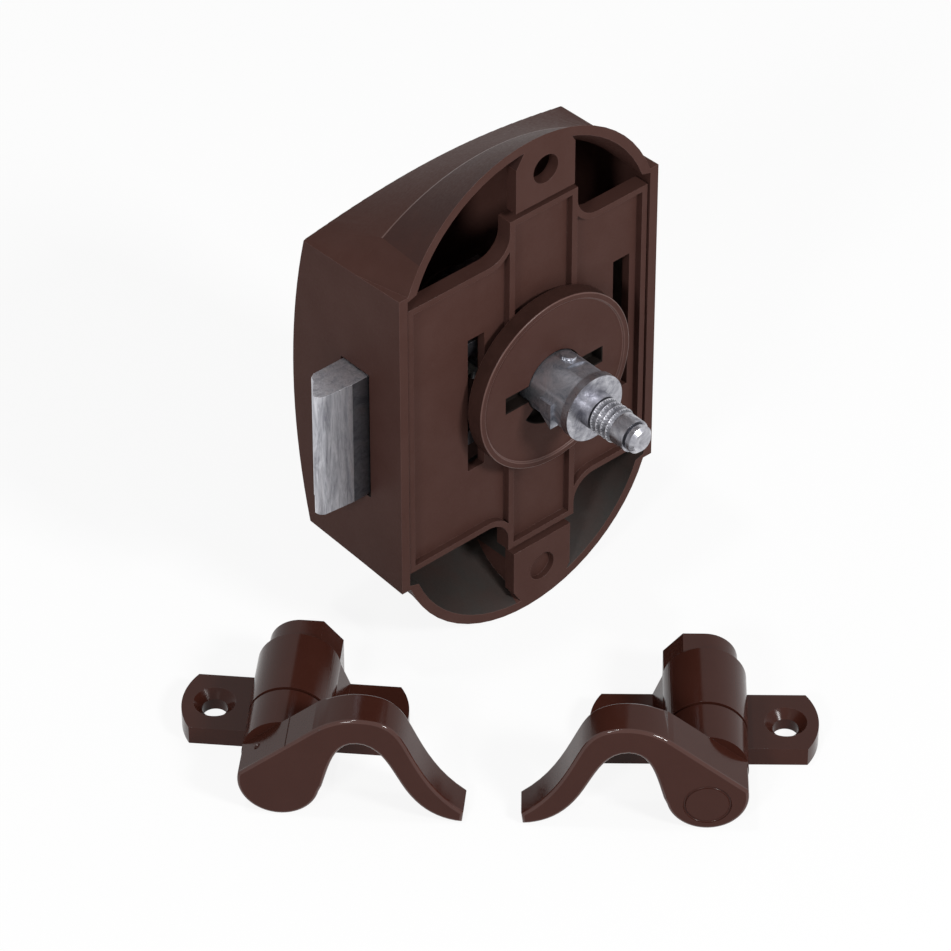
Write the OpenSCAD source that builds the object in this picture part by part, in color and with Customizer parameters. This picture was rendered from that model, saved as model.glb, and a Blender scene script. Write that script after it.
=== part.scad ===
// Furniture push lock with two spring hooks.
// The origin lies on the spindle axis, in the plane of the door's inner face.
// X runs along the width of the case with the bolt towards minus X, minus Y points
// into the door along the spindle, and Z points up. The hooks lie on their plates
// in front of the lock, level with its lowest point.

/* [Case] */
// Width of the case
case_w = 45; // [42:0.5:52]
// Distance from the spindle axis to the face that the bolt comes out of
backset = 25; // [23:0.5:27]
// Half length of the straight sides at the door plane
side_half = 24.5; // [23.5:0.5:27]
// How far each end bulges past the straight sides at the door plane
end_rise = 14.7; // [13:0.1:17]
// Depth of the case at the ends of its straight sides
case_depth = 19; // [18:0.5:24]
// Extra depth of the curved front at mid height
front_bulge = 2.8; // [2:0.1:4]
// Half length of the straight sides at the front
front_half = 23.6; // [22.5:0.1:24]
// How far each end of the front curves out
front_rise = 2.1; // [1:0.1:4]
// Height of the ridge on the ends above the door plane
ridge_y = 8.6; // [6:0.2:12]
// How far the ridge curves out
ridge_rise = 7.5; // [5:0.1:9]
// Shoulder between the straight sides and the round ends
shoulder = 1.5; // [1:0.1:2.5]
// Wall thickness of the cover
wall = 1.4; // [1:0.1:2]

/* [Fixing tabs] */
// Distance between the two screw holes
screw_spacing = 67; // [64:0.5:70]
// Diameter of a screw hole
screw_d = 4.3; // [3.5:0.1:5]
// Width of a tab
tab_w = 10.2; // [8:0.2:12]
// Thickness of a tab
tab_t = 1.8; // [1.2:0.1:2.4]
// How much a tab narrows on each side where it meets the rim
tab_taper = 1.4; // [0.5:0.1:2.5]
// Diameter of the screwdriver bore through the lower end
driver_bore_d = 7.3; // [5:0.1:9]
// Wall of the sleeve round that bore
sleeve_t = 1; // [0.8:0.1:1.4]
// Gap between a tab and the chassis
tab_gap = 1.1; // [0.5:0.1:2]

/* [Chassis] */
// Thickness of the chassis plate with its ribs
plate_t = 2.35; // [2.1:0.05:2.4]
// Depth of the panels between the ribs
panel_depth = 1; // [0.5:0.1:1.2]
// Width of the raised border
border_w = 0.9; // [0.6:0.1:1.5]
// Half length of the chassis beside the tongue
plate_half = 22; // [20:0.5:23]
// Half length of the chassis at the tongue
tongue_half = 27.6; // [26:0.1:28]
// Half width of the tongue
tongue_hw = 5.9; // [5:0.1:7]
// Radius of the corners beside the tongue
pocket_r = 3.6; // [2:0.1:5]
// Width of a window
window_w = 2.9; // [2:0.1:3.5]
// Length of a window
window_h = 22; // [16:1:26]

/* [Door disc] */
// Diameter of the disc that sits in the door hole
disc_d = 26.4; // [25:0.1:28]
// How far the disc stands out of the door plane
disc_proud = 2.35; // [1.5:0.05:3]
// Width of the lip round the disc
lip_w = 0.9; // [0.5:0.1:1.5]
// Depth of the face inside the lip
lip_h = 0.3; // [0.1:0.05:0.6]
// Length of the slot across the disc
slot_l = 17; // [12:0.5:20]
// Width of the slot
slot_w = 2.4; // [1.5:0.1:3]

/* [Spindle] */
// Diameter of the hub
hub_d = 9.1; // [8.6:0.1:9.4]
// Length of the hub in front of the disc
hub_out = 6.4; // [5:0.1:8]
// Diameter of the flange
flange_d = 9.8; // [9.4:0.1:11]
// Thickness of the flange
flange_t = 1.2; // [0.8:0.1:2]
// Turn of the key flats about the spindle's axis in degrees
key_turn = 12; // [0:1:30]
// Length of the collar next to the flange
collar_l = 1.6; // [0.5:0.1:3]
// Diameter of the collar and the ring barbs
barb_d = 5.2; // [4.8:0.1:6]
// Number of ring barbs
barbs = 4; // [2:1:6]
// Distance from one barb to the next
barb_pitch = 0.95; // [0.8:0.05:1.5]
// Diameter of the plain tail
tail_d = 4.6; // [4:0.1:4.8]
// Length of the plain tail
tail_l = 2.4; // [1.5:0.1:4]
// Diameter of the tip
tip_d = 4; // [3.4:0.1:4]
// Length of the tip with the groove behind it
tip_l = 1.5; // [1.3:0.1:4]
// Diameter of the stub that carries the carriage
stub_d = 4.8; // [4.4:0.1:5]

/* [Bolt] */
// Height of the bolt
bolt_h = 19.7; // [16:0.1:20]
// Thickness of the bolt
bolt_t = 5.1; // [4:0.1:5.2]
// How far the bolt stands out of the case
bolt_reach = 7.9; // [6:0.1:8]
// How far the middle of the bolt lies below the spindle axis
bolt_drop = 1.2; // [0.8:0.1:1.3]
// Depth of the bolt behind the door plane
bolt_y = 6.5; // [6.3:0.1:6.8]
// Travel of the spindle and of the bolt
travel = 8; // [6:0.1:8]
// Diameter of the cross pin
pin_d = 2.4; // [2:0.1:2.6]

/* [Springs] */
// Wire diameter of the bolt springs and the spindle spring
wire_d = 0.5; // [0.4:0.05:0.55]
// Turns of a bolt spring
bolt_turns = 7; // [5:1:8]
// Turns of the spindle spring
push_turns = 3; // [2:1:3]
// Wire diameter of a hook spring
hook_wire_d = 0.7; // [0.5:0.05:0.8]
// Turns of a hook spring
hook_turns = 7; // [4:1:8]

/* [Hooks] */
// Distance between the screw holes of a hook
hook_spacing = 21.6; // [20.6:0.1:24]
// Diameter of a screw hole of a hook
hook_hole_d = 3.5; // [3:0.1:4]
// Diameter of a countersink
hook_sink_d = 5.7; // [4.5:0.1:6.5]
// Width of a hook plate
hook_plate_w = 30.4; // [29:0.1:34]
// Height of a hook plate and its barrel
hook_plate_h = 10.7; // [10:0.1:14]
// Thickness of a hook plate
hook_plate_t = 2.8; // [1.5:0.1:3.5]
// How far the round ends of a plate bulge
hook_end_rise = 1.6; // [0.5:0.1:2.5]
// Diameter of the barrel
barrel_d = 11.2; // [10.6:0.1:13]
// Height of the barrel's axis over the mounting plane
axis_h = 5.5; // [5.5:0.1:7]
// How far the slanted flank of the barrel reaches out along the plate
flank_w = 6.8; // [6.4:0.1:7.6]
// Length of the boss behind the barrel
boss_l = 4.1; // [2.2:0.1:5]
// Diameter of that boss
boss_d = 9; // [8:0.1:10]
// Diameter of the lever's neck
neck_d = 11; // [10.9:0.1:11]
// Length of the neck
neck_l = 6.4; // [5:0.1:10]
// Gap between the barrel and the neck
neck_gap = 0.4; // [0.3:0.05:1]
// Diameter of the lever's hub
lever_hub_d = 10.8; // [10:0.1:10.8]
// Thickness of the lever at its hub
lever_t = 5.8; // [5:0.1:8]
// Thickness of the lever at its tip
lever_tip_t = 4.7; // [3.5:0.1:5]
// Reach of the arm from the pivot to the tip
arm_reach = 24.2; // [22:0.1:27]
// Height of the arm's crown over the pivot
arm_crown = 11.6; // [10:0.1:13]
// Depth of the arm below its crown
arm_depth = 4.1; // [3:0.1:5]
// Diameter of the steel pivot
pivot_d = 3; // [2.4:0.1:3.2]
// Place of the left hook across the width of the lock
left_hook_x = -41.7; // [-60:0.1:-41.5]
// Place of the left hook in front of the door plane
left_hook_y = 2.6; // [-20:0.1:10]
// Turn of the left hook in degrees
left_hook_turn = -47; // [-60:1:-30]
// Place of the right hook across the width of the lock
right_hook_x = -2.8; // [-10:0.1:20]
// Place of the right hook in front of the door plane
right_hook_y = -35.4; // [-60:0.1:-35]
// Turn of the right hook in degrees
right_hook_turn = -42; // [-60:1:-30]

/* [Hidden] */
$fn = 64;

brown = [0.30, 0.215, 0.20];
hook_brown = [0.27, 0.13, 0.10];
zinc = [0.62, 0.62, 0.64];
steel = [0.75, 0.75, 0.77];
acetal = [0.85, 0.84, 0.80];

slip = 0.1;          // clearance where one piece slides on another
run = 0.06;          // clearance round a shaft
seat = 0.25;         // clearance where one piece is set into another
over = 1;            // how far a cutting body runs past what it cuts
trim = 0.6;          // how far the front section lies past the edge that is cut

// Case
case_x0 = -backset;
case_x1 = case_w - backset;
mid_x = (case_x0 + case_x1) / 2;
half_w = case_w / 2;
chord = half_w - shoulder;
bottom_z = -(side_half + end_rise);
front_chord = half_w - 0.2;
bulge_r = (front_half * front_half + front_bulge * front_bulge) / (2 * front_bulge);
front_y = case_depth + front_bulge;
arc_steps = 24;
inner_x0 = case_x0 + wall;
inner_x1 = case_x1 - wall;
inner_front = front_y - wall;

// Tabs
tab_z = tongue_half + tab_gap;
tab_hole_z = screw_spacing / 2;
tab_shoulder = 0.8;

// Chassis
plate_y0 = 0.25;
plate_y1 = plate_y0 + plate_t;
plate_x0 = inner_x0 + seat;
plate_x1 = inner_x1 - seat;
ledge_w = 1;
ledge_t = 1.4;
ledge_z = 15.5;
ledge_l = 8;
land_d = 18;
left_window_x = -12.3;
right_window_x = plate_x1 - 5;
spigot_d = 12.4;

// Spindle, with Y growing from the tip into the case
disc_face = -disc_proud;
hub_y0 = disc_face - hub_out;
flange_y0 = hub_y0 - flange_t;
collar_y0 = flange_y0 - collar_l;
barb_y0 = collar_y0 - barbs * barb_pitch;
tail_y0 = barb_y0 - tail_l;
tip_y0 = tail_y0 - tip_l;
barb_root_d = barb_d - 0.9;
tip_groove_l = 0.3;
tip_groove_d = tip_d - 0.7;
tip_chamfer = 0.5;
hub_flat_z = hub_d / 2 - 0.35;
hub_flat_l = 3.4;
lug_h = 0.35;
round_lug_d = 2.2;
side_lug_y = hub_y0 + 3.1;
side_lug_w = 2.2;
side_lug_z = 1.1;
fin_z = 2.9;

// Carriage with its cam plate
cam_y0 = plate_y1 + travel + 0.2;
push_seat_y = inner_front - 0.4;
cam_y1 = push_seat_y - 0.3;
block_y1 = inner_front - 4.1;
block_y0 = block_y1 - 4.4;
block_hx = 5.4;
block_hz = 5.9;
cam_x1 = block_hx + 2.8;
cam_hz = 4.6;
groove_depth = 1.1;
stub_y1 = block_y1 + 1.3;
pin_y = block_y0 + 2.1;
clip_t = 0.5;
clip_y = block_y1 + 0.25;
clip_d = 7.8;
clip_groove_d = stub_d - 1;

// Bolt and its fork
cheek_z0 = block_hz + 0.4;
cheek_t = 2.2;
cheek_z1 = cheek_z0 + cheek_t;
bolt_z0 = -bolt_drop - bolt_h / 2;
bolt_z1 = -bolt_drop + bolt_h / 2;
bolt_y1 = bolt_y + bolt_t;
bolt_end = -(block_hx + travel + 0.8);
fork_x1 = 3.2;
pin_slot_w = pin_d + 0.3;
fork_edge = 1.5;
nose_r = 1.1;        // round tip of the nose, between two directions in degrees
nose_from = 250;
nose_to = 170;
nose_step = 20;
nose_root = 2.6;     // where the nose begins to slant, before the case
nose_drop = 0.45;
nose_back = 2.3;     // how far the far side of the nose stands back from its tip
slot_gap = 0.3;

// Springs of the lock
coil_gap = 0.35;
fork_peg_l = 1.6;
wall_peg_l = 2;
wall_x0 = inner_x1 - 2.2;
wall_x1 = wall_x0 + 1.4;
spring_seat = 0.15;
bolt_coil_r = 1.7;
peg_r = bolt_coil_r - wire_d / 2 - 0.3;
bolt_coil_z = (cheek_z0 + cheek_z1) / 2;
bolt_coil_y = pin_y + 0.4;
push_coil_r = 4.6;
block_mid_hz = bolt_coil_z - bolt_coil_r - wire_d / 2 - coil_gap;
block_end_hx = fork_x1 - coil_gap;
coil_steps = 12;
coil_sides = 6;

// Latch wire
latch_r = 0.5;
latch_x = cam_x1 + latch_r + 0.3;
latch_tip_y = cam_y0 + 1.1;
latch_pivot_y = plate_y1 + 3;
latch_post_x = latch_x + latch_r + 0.3;
latch_post_l = 3.5;
latch_swing = 12;

// Guides of the bolt on the chassis
guide_x0 = inner_x0 + ledge_w + 0.2;
guide_x1 = bolt_end + 0.7;
rail_t = 1.5;
strap_t = 1.5;

// Hooks, each in its own frame: X towards the arm, minus Y towards the lever, Z up
barrel_r = barrel_d / 2;
barrel_y0 = -hook_plate_h / 2;
barrel_y1 = hook_plate_h / 2;
boss_y1 = barrel_y1 + boss_l;
boss_flat = 2.85;
boss_side = barrel_r - 0.15;
boss_corner = 1.4;
chamber_r = barrel_r - 1.4;
chamber_y1 = barrel_y1 - 1.6;
neck_y1 = barrel_y0 - neck_gap;
neck_y0 = neck_y1 - neck_l;
lever_y0 = neck_y0 - lever_t;
ring_y = boss_y1 - 1.3;
ring_t = 0.5;
ring_d = 6;
pivot_y0 = neck_y0 - 2;
pivot_y1 = ring_y + ring_t + 0.5;
hook_coil_r = chamber_r - hook_wire_d / 2 - 0.3;
lever_hub_r = lever_hub_d / 2;
ramp_slope = 0.826;
ramp_h = 5.6;
curve_steps = 10;

// One end of a section of the case, as an arc over the chord
function arc_r(c, rise) = (c * c + rise * rise) / (2 * rise);
function arc_pts(c, z0, rise, n) =
    let (r = arc_r(c, rise), a = asin(c / r))
    [for (i = [0:n]) let (t = a - 2 * a * i / n) [r * sin(t), z0 + rise - r + r * cos(t)]];

// A section of the case, seen from the door with Z up
function section(hw, flat, c, z0, rise) =
    let (top = arc_pts(c, z0, rise, arc_steps))
    concat([[hw, -flat], [hw, flat]], top, [[-hw, flat], [-hw, -flat]], [for (p = top) -p]);

// The same section drawn in by the wall, with the arc about the same centre
function inner_section(hw, flat, c, z0, rise, t) =
    let (r = arc_r(c, rise), cz = z0 + rise - r, ri = r - t, ci = c - t, zi = cz + sqrt(ri * ri - ci * ci))
    section(hw - t, min(flat - t / 2, zi), ci, zi, cz + ri - zi);

// A loft through sections at the depths ys, closed by fans about the middle of the first and last
module loft(sections, ys) {
    n = len(sections[0]);
    last = len(ys) - 1;
    middle = (last + 1) * n;
    pts = [for (k = [0:last]) for (p = sections[k]) [mid_x + p[0], ys[k], p[1]],
        [mid_x, ys[0], 0], [mid_x, ys[last], 0]];
    sides = [for (k = [0:last - 1]) for (i = [0:n - 1])
        let (a = k * n + i, b = k * n + (i + 1) % n)
        each [[a, b, b + n], [a, b + n, a + n]]];
    caps = [for (i = [0:n - 1]) let (j = (i + 1) % n)
        each [[middle, j, i], [middle + 1, last * n + i, last * n + j]]];
    polyhedron(pts, concat(sides, caps));
}

// A shape drawn in X and Z, from depth y0 to depth y1
module slab(y0, y1) {
    translate([0, y1, 0]) rotate([90, 0, 0]) linear_extrude(y1 - y0) children();
}

module rod(y0, y1, d) {
    slab(y0, y1) circle(d = d);
}

module box(lo, hi) {
    translate(lo) cube(hi - lo);
}

// A coil about the Z axis, as one tube from z = 0 to z = length
module coil(r, wire, turns, length) {
    rise = length - wire;
    n = turns * coil_steps;
    pitch_turn = rise / turns;
    slope = atan(pitch_turn / (2 * PI * r));
    pts = [for (i = [0:n]) for (j = [0:coil_sides - 1])
        let (t = 360 * i / coil_steps, f = 360 * j / coil_sides,
            d = wire / 2 * cos(f), h = wire / 2 * sin(f),
            tx = [-sin(t) * sin(slope), cos(t) * sin(slope), -cos(slope)])
        [(r + d) * cos(t), (r + d) * sin(t), wire / 2 + rise * i / n] - h * tx];
    sides = [for (i = [0:n - 1]) for (j = [0:coil_sides - 1])
        let (a = i * coil_sides + j, b = i * coil_sides + (j + 1) % coil_sides)
        each [[a, b, b + coil_sides], [a, b + coil_sides, a + coil_sides]]];
    caps = [[for (j = [coil_sides - 1:-1:0]) j], [for (j = [0:coil_sides - 1]) n * coil_sides + j]];
    polyhedron(pts, [for (f = concat(sides, caps)) [for (k = [len(f) - 1:-1:0]) f[k]]]);
}

module bulge_bound(t) {
    translate([case_x0 - over, front_y - bulge_r, 0]) rotate([0, 90, 0])
        cylinder(r = bulge_r - t, h = case_w + 2 * over, $fn = 360);
}

module case_body() {
    rear = section(half_w, side_half, chord, side_half, end_rise);
    ridge = section(half_w, (side_half + front_half) / 2, chord, side_half + 1, ridge_rise);
    front = section(half_w, front_half, front_chord, front_half + 0.1, front_rise);
    intersection() {
        loft([rear, ridge, front, front], [0, ridge_y, case_depth + trim, front_y + over]);
        bulge_bound(0);
    }
}

// The case drawn in by t
module case_hollow(t) {
    rear = inner_section(half_w, side_half, chord, side_half, end_rise, t);
    ridge = inner_section(half_w, (side_half + front_half) / 2, chord, side_half + 1, ridge_rise, t);
    front = inner_section(half_w, front_half, front_chord, front_half + 0.1, front_rise, t);
    intersection() {
        loft([rear, rear, ridge, front, front], [-over, 0, ridge_y, case_depth + trim, front_y + over]);
        bulge_bound(t);
    }
}

// One tab, for the upper end
module tab() {
    root_z = side_half + end_rise;
    neck_z = root_z - 2 * wall - tab_shoulder;
    rim_z = root_z - wall;
    difference() {
        intersection() {
            slab(0, tab_t) polygon([[-tab_w / 2, tab_z], [-tab_w / 2, neck_z], [tab_taper - tab_w / 2, rim_z],
                [tab_taper - tab_w / 2, root_z], [tab_w / 2 - tab_taper, root_z],
                [tab_w / 2 - tab_taper, rim_z], [tab_w / 2, neck_z], [tab_w / 2, tab_z]]);
            case_hollow(wall / 2);
        }
        translate([0, 0, tab_hole_z]) rod(-over, tab_t + over, screw_d);
    }
}

module case_cover() {
    color(brown) difference() {
        union() {
            difference() {
                case_body();
                case_hollow(wall);
            }
            tab();
            mirror([0, 0, 1]) tab();
            // sleeve round the way in for the screwdriver
            intersection() {
                case_body();
                translate([0, 0, -tab_hole_z]) rod(tab_t / 2, case_depth, driver_bore_d + 2 * sleeve_t);
            }
            // ledges that carry the chassis
            for (z = [-ledge_z, ledge_z]) {
                box([case_x0 + wall / 2, plate_y1, z - ledge_l / 2],
                    [inner_x0 + ledge_w, plate_y1 + ledge_t, z + ledge_l / 2]);
                box([inner_x1 - ledge_w, plate_y1, z - ledge_l / 2],
                    [case_x1 - wall / 2, plate_y1 + ledge_t, z + ledge_l / 2]);
            }
            // seat and centring boss of the spindle spring
            rod(push_seat_y, inner_front + wall / 2, 2 * push_coil_r + 2.4);
            rod(push_seat_y - 1.1, inner_front + wall / 2, 2 * (push_coil_r - wire_d / 2 - 0.35));
        }
        // way out for the bolt
        box([case_x0 - over, bolt_y - slot_gap, bolt_z0 - 2 * slot_gap],
            [inner_x0 + over / 2, bolt_y1 + slot_gap, bolt_z1 + slot_gap]);
        // way in for a screwdriver to the lower screw
        translate([0, 0, -tab_hole_z]) rod(tab_t, case_depth, driver_bore_d);
    }
}

// Outline of the chassis drawn in by d, with round corners beside the tongue
module chassis_outline(d) {
    r = pocket_r + d;
    hx = tongue_hw - d;
    hz = plate_half - d;
    translate([plate_x0 + d, -hz]) square([plate_x1 - plate_x0 - 2 * d, 2 * hz]);
    translate([-hx, -tongue_half + d]) square([2 * hx, 2 * (tongue_half - d)]);
    for (sx = [-1, 1]) for (sz = [-1, 1]) scale([sx, sz]) translate([hx, hz]) difference() {
        translate([-0.1, -0.1]) square(r + 0.1);
        translate([r, r]) circle(r);
    }
}

// Rails, pads and a strap that guide the bolt
module bolt_guide() {
    rail_y1 = bolt_y1 + slip + strap_t;
    z0 = bolt_z0 - 2 * slip;
    z1 = bolt_z1 + 2 * slip;
    box([guide_x0, plate_y1, z0 - rail_t], [guide_x1, rail_y1, z0]);
    box([guide_x0, plate_y1, z1], [guide_x1, rail_y1, z1 + rail_t]);
    box([guide_x0, plate_y1, z0], [guide_x1, bolt_y - slip, z1]);
    box([guide_x0, bolt_y1 + slip, z0 - rail_t / 2], [bolt_end - 1.8, rail_y1, z1 + rail_t / 2]);
}

module latch_post() {
    difference() {
        box([latch_post_x, plate_y1 - 0.4, -2], [latch_post_x + latch_post_l, latch_pivot_y + 1.6, 2]);
        translate([latch_post_x - over, latch_pivot_y, 0]) rotate([0, 90, 0])
            cylinder(r = latch_r + run, h = latch_post_l + 2 * over);
    }
}

module chassis_plate() {
    color(brown) {
        difference() {
            slab(plate_y0, plate_y1) chassis_outline(0);
            // panels between the ribs
            slab(plate_y0 - over, plate_y0 + panel_depth) difference() {
                chassis_outline(border_w);
                for (s = [-1, 1]) translate([s * (tongue_hw - border_w / 2), 0])
                    square([border_w, 3 * tongue_half], center = true);
                circle(d = land_d);
            }
            for (x = [left_window_x, right_window_x])
                box([x, plate_y0 - over, -window_h / 2], [x + window_w, plate_y1 + over, window_h / 2]);
            rod(plate_y0 - over, plate_y1 + over, spigot_d + 2 * slip);
        }
        bolt_guide();
        latch_post();
        // end wall with the pegs of the bolt springs
        box([wall_x0, plate_y1 - 0.4, -cheek_z1 - 1.5], [wall_x1, bolt_coil_y + bolt_coil_r + 0.7, cheek_z1 + 1.5]);
        for (s = [-1, 1]) translate([wall_x0 - wall_peg_l, bolt_coil_y, s * bolt_coil_z]) rotate([0, 90, 0])
            cylinder(r = peg_r, h = wall_peg_l + 0.4);
    }
}

module guide_disc() {
    notch_r = 6.4;
    color(brown) difference() {
        union() {
            rod(disc_face, plate_y0, disc_d);
            rod(plate_y0 - 0.1, plate_y1, spigot_d);
        }
        rod(disc_face - over, disc_face + lip_h, disc_d - 2 * lip_w);
        rod(disc_face - over, plate_y1 + over, hub_d + 2 * run);
        box([-slot_l / 2, disc_face - over, -slot_w / 2], [slot_l / 2, plate_y0 - 0.4, slot_w / 2]);
        // notch beside the hub
        slab(disc_face - over, plate_y0 - 0.4) intersection() {
            circle(notch_r);
            polygon([[0, 0], [-7, -6], [-4, -9], [-0.2, -9]]);
        }
    }
}

module spindle() {
    color(zinc) difference() {
        union() {
            rod(hub_y0, block_y0, hub_d);
            rod(flange_y0, hub_y0, flange_d);
            rod(collar_y0, flange_y0, barb_d);
            rod(barb_y0, collar_y0, barb_root_d);
            for (i = [0:barbs - 1]) translate([0, collar_y0 - (i + 1) * barb_pitch, 0]) rotate([-90, 0, 0])
                cylinder(d1 = barb_root_d, d2 = barb_d, h = barb_pitch * 0.7);
            rod(tail_y0, barb_y0, tail_d);
            rod(tail_y0 - tip_groove_l, tail_y0, tip_groove_d);
            rod(tip_y0 + tip_chamfer, tail_y0 - tip_groove_l, tip_d);
            translate([0, tip_y0, 0]) rotate([-90, 0, 0])
                cylinder(d1 = tip_d - 2 * tip_chamfer, d2 = tip_d, h = tip_chamfer);
            // round lug on the upper side and a square one with a fin on the side, both in front of the disc
            rotate([0, key_turn, 0]) translate([0, disc_face - 0.2 - round_lug_d / 2, 0])
                cylinder(d = round_lug_d, h = hub_d / 2 + lug_h);
            translate([-hub_d / 2 - lug_h, 0, 0]) rotate([90, 0, 90]) linear_extrude(hub_d / 2)
                polygon([[side_lug_y - side_lug_w / 2, side_lug_z], [side_lug_y - side_lug_w / 2, -fin_z],
                    [side_lug_y + side_lug_w / 2, -side_lug_z], [side_lug_y + side_lug_w / 2, side_lug_z]]);
            rod(block_y0, stub_y1, stub_d);
        }
        // key flats at the outer end of the hub
        rotate([0, key_turn, 0]) for (s = [0, 1]) mirror([0, 0, s])
            box([-hub_d, hub_y0, hub_flat_z], [hub_d, hub_y0 + hub_flat_l, hub_d]);
        // groove of the clip
        difference() {
            rod(clip_y - 0.05, clip_y + clip_t + 0.05, stub_d + over);
            rod(clip_y - over, clip_y + clip_t + over, clip_groove_d);
        }
        translate([0, pin_y, -block_hz]) cylinder(d = pin_d + 2 * run, h = 2 * block_hz);
    }
}

// Way of the latch wire in the cam plate, drawn in Y and Z: a straight lane, a catch beside it,
// a way back and a mouth that widens
module cam_groove() {
    lane = latch_r + 0.3;
    y0 = latch_tip_y - lane;
    back_z = 3.3;
    mouth = 1.7;
    translate([cam_x1 - groove_depth, 0, 0]) rotate([90, 0, 90]) linear_extrude(groove_depth + over) {
        translate([y0, -lane]) square([cam_y1 + over - y0, 2 * lane]);
        translate([y0, -lane]) square([2 * lane, lane + back_z]);
        translate([y0, back_z - 2 * lane]) square([cam_y1 - mouth - y0, 2 * lane]);
        polygon([[cam_y1 + over, lane + 1.4], [cam_y1 - mouth - 2 * lane, back_z],
            [cam_y1 - mouth - 2 * lane, 0], [cam_y1 + over, 0]]);
    }
}

module carriage() {
    color(acetal) difference() {
        union() {
            box([-block_hx, block_y0, -block_mid_hz], [block_hx, block_y1, block_mid_hz]);
            box([-block_end_hx, block_y0, -block_hz], [block_end_hx, block_y1, block_hz]);
            box([block_hx - 0.1, cam_y0, -cam_hz], [cam_x1, cam_y1, cam_hz]);
        }
        rod(block_y0 - over, block_y1 + over, stub_d + 2 * run);
        translate([0, pin_y, -block_hz - over]) cylinder(d = pin_d + 2 * run, h = 2 * (block_hz + over));
        cam_groove();
    }
}

module cross_pin() {
    color(steel) translate([0, pin_y, -cheek_z1 + slip]) cylinder(d = pin_d, h = 2 * (cheek_z1 - slip));
}

module retaining_clip() {
    color(steel) difference() {
        rod(clip_y, clip_y + clip_t, clip_d);
        rod(clip_y - over, clip_y + clip_t + over, clip_groove_d + 2 * run);
        box([-1.4, clip_y - over, -clip_d], [1.4, clip_y + clip_t + over, 0]);
    }
}

// Nose and blade seen from above, in X and Y
module bolt_plan() {
    tip_x = case_x0 - bolt_reach;
    far_x = tip_x + nose_back;
    polygon([[bolt_end, bolt_y], [case_x0 - nose_root, bolt_y], [tip_x + nose_r, bolt_y + nose_drop],
        for (t = [nose_from:-nose_step:nose_to])
            [tip_x + nose_r + nose_r * cos(t), bolt_y + nose_drop + nose_r + nose_r * sin(t)],
        [far_x - 0.3, bolt_y1 - 1.2], [far_x, bolt_y1 - 0.4], [far_x + 0.7, bolt_y1], [bolt_end, bolt_y1]]);
}

// A cheek of the fork with its slanted slot, in X and Y
module cheek_plan() {
    e = pin_slot_w / 2 + fork_edge;
    q = pin_slot_w / 2 * sin(45);
    difference() {
        polygon([[bolt_end - 2, bolt_y], [-travel - e, bolt_y], [-travel - e, pin_y - travel - e],
            [-travel + e, pin_y - travel - e], [fork_x1, pin_y - e], [fork_x1, pin_y + e],
            [-e, pin_y + e], [bolt_end + 1, bolt_y1], [bolt_end - 2, bolt_y1]]);
        for (s = [0, travel]) translate([-s, pin_y - s]) circle(d = pin_slot_w);
        polygon([[-travel - q, pin_y - travel + q], [-travel + q, pin_y - travel - q], [q, pin_y - q],
            [-q, pin_y + q]]);
    }
}

module bolt() {
    color(zinc) {
        translate([0, 0, bolt_z0]) linear_extrude(bolt_h) bolt_plan();
        for (z = [-cheek_z1, cheek_z0]) translate([0, 0, z]) linear_extrude(cheek_t) cheek_plan();
        for (s = [-1, 1]) translate([fork_x1 - 0.2, bolt_coil_y, s * bolt_coil_z]) rotate([0, 90, 0])
            cylinder(r = peg_r, h = fork_peg_l + 0.2);
    }
}

module bolt_springs() {
    length = wall_x0 - fork_x1 - 2 * spring_seat;
    color(steel) for (s = [-1, 1])
        translate([fork_x1 + spring_seat, bolt_coil_y, s * bolt_coil_z]) rotate([0, 90, 0])
            coil(bolt_coil_r, wire_d, bolt_turns, length);
}

module spindle_spring() {
    length = push_seat_y - block_y1 - 2 * spring_seat;
    color(steel) translate([0, block_y1 + spring_seat, 0]) rotate([-90, 0, 0])
        coil(push_coil_r, wire_d, push_turns, length);
}

module latch_wire() {
    color(steel) {
        translate([latch_x, latch_pivot_y, 0]) rotate([0, 90, 0])
            cylinder(r = latch_r, h = latch_post_l + latch_r + 0.3);
        translate([latch_x, latch_pivot_y, 0]) sphere(latch_r, $fn = 24);
        translate([latch_x, latch_pivot_y, 0]) rotate([-90, 0, 0])
            cylinder(r = latch_r, h = latch_tip_y - latch_pivot_y);
        translate([latch_x, latch_tip_y, 0]) sphere(latch_r, $fn = 24);
        translate([latch_x, latch_tip_y, 0]) rotate([0, -90, 0])
            cylinder(r = latch_r, h = latch_x - cam_x1 + groove_depth - 0.25);
    }
}

// Puts a hook's own frame in its place; side is 1 with the arm to the right, -1 to the left
module place_hook(side) {
    x = side > 0 ? left_hook_x : right_hook_x;
    y = side > 0 ? left_hook_y : right_hook_y;
    turn = side > 0 ? left_hook_turn : right_hook_turn;
    translate([x, y, bottom_z]) rotate([0, 0, turn]) scale([side, 1, 1]) children();
}

module on_axis() {
    translate([0, 0, axis_h]) children();
}

// Outline of a hook plate seen from above, with bowed ends
module hook_plate_plan() {
    hx = hook_plate_w / 2;
    r = arc_r(hook_plate_h / 2, hook_end_rise);
    for (s = [-1, 1]) intersection() {
        translate([s * (hx - r), 0]) circle(r, $fn = 96);
        translate([s * hx / 2, 0]) square([hx + over, hook_plate_h], center = true);
    }
}

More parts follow.
